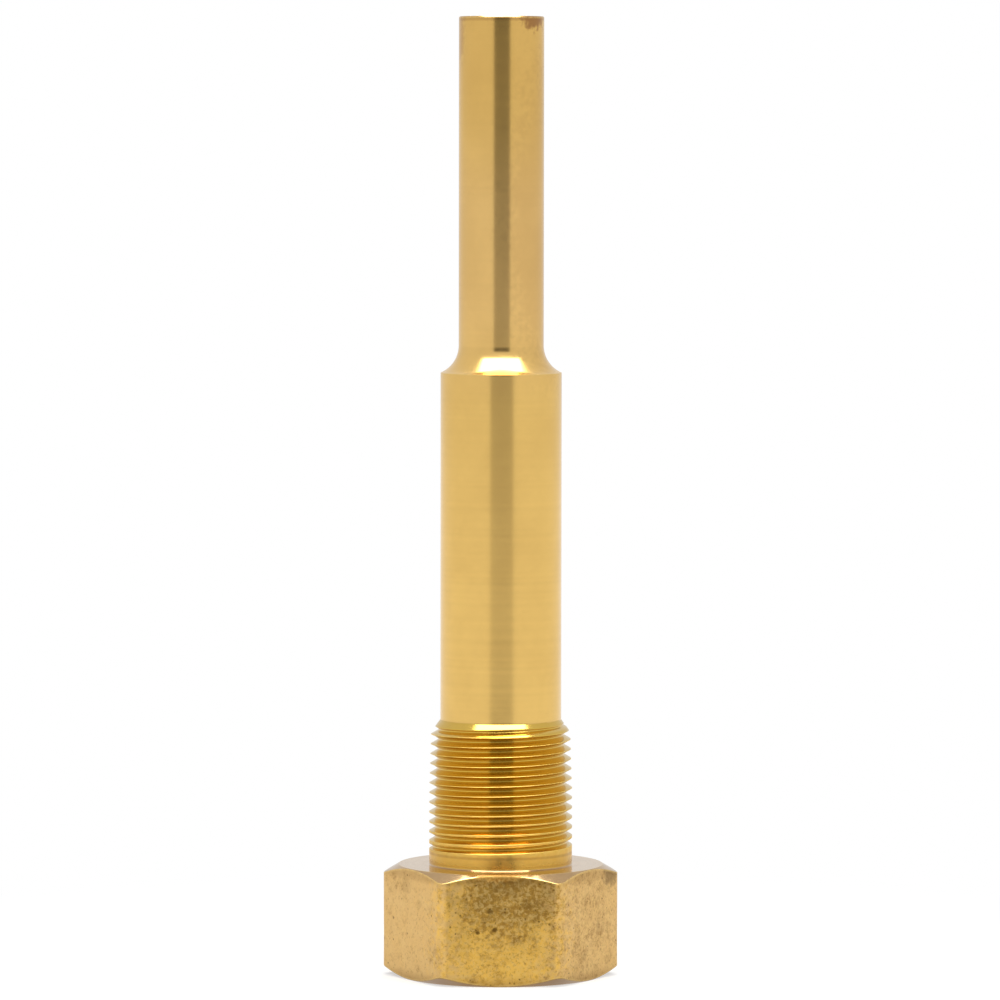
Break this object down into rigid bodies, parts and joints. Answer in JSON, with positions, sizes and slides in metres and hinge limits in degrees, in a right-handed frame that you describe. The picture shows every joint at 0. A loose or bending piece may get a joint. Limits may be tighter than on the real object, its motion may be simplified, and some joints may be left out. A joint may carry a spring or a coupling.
{
  "type": "thermowell",
  "caption": "Stepped brass thermowell: a closed, drilled tube with a reduced tip, an outside taper pipe thread, a hexagon head and a threaded socket for the instrument.",
  "frame": {"origin": "centre of the hexagon head's open face, on which the part stands", "axes": "+Z along the axis from the open face to the closed tip; two flats of the hexagon face -Y and +Y, two corners point to -X and +X"},
  "size_m": [0.0434, 0.0384, 0.1778],
  "materials": {
    "brass": "fine turned, with raw drawn faces on the hexagon"
  },
  "bodies": {
    "root": {"thermowell": "brass"}
  },
  "joints": []
}
